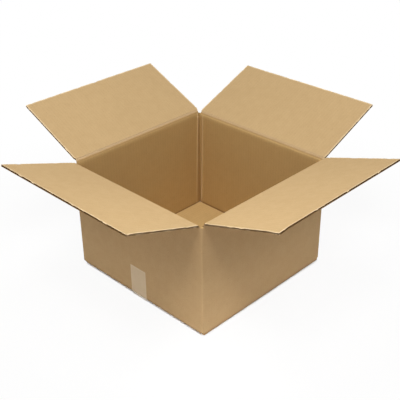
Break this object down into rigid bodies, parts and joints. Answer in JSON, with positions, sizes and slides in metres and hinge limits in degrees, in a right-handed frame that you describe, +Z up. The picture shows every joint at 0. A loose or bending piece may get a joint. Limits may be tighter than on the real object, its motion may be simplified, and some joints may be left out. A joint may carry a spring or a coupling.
{
  "type": "open cardboard box",
  "caption": "Slotted shipping carton of corrugated kraft board, taped shut along its bottom seam, with hinged top flaps standing open.",
  "frame": {"origin": "on the table, in the middle of the box's underside", "axes": "+Z up; +X along the side walls, towards the right end wall; +Y towards the back side wall"},
  "size_m": [0.7467, 0.7454, 0.3485],
  "materials": {
    "kraft_board": "matte",
    "flap_board": "matte",
    "packing_tape": "gloss"
  },
  "bodies": {
    "carton": {"carton_body": "kraft_board", "bottom_tape": "packing_tape"},
    "front_flap": {"front_flap": "flap_board"},
    "back_flap": {"back_flap": "flap_board"},
    "left_flap": {"left_flap": "flap_board"},
    "right_flap": {"right_flap": "flap_board"}
  },
  "joints": [
    {"name": "front_flap_fold", "type": "hinge", "parent": "carton", "child": "front_flap", "pos_m": [0, -0.195, 0.266], "axis": [-1, 0, 0], "range_deg": [-83.1, 161.9]},
    {"name": "back_flap_fold", "type": "hinge", "parent": "carton", "child": "back_flap", "pos_m": [0, 0.195, 0.266], "axis": [1, 0, 0], "range_deg": [-89.4, 155.6]},
    {"name": "left_flap_fold", "type": "hinge", "parent": "carton", "child": "left_flap", "pos_m": [-0.195, 0, 0.2617], "axis": [0, 1, 0], "range_deg": [-84.2, 160.8]},
    {"name": "right_flap_fold", "type": "hinge", "parent": "carton", "child": "right_flap", "pos_m": [0.195, 0, 0.2617], "axis": [0, -1, 0], "range_deg": [-87.6, 157.4]}
  ]
}
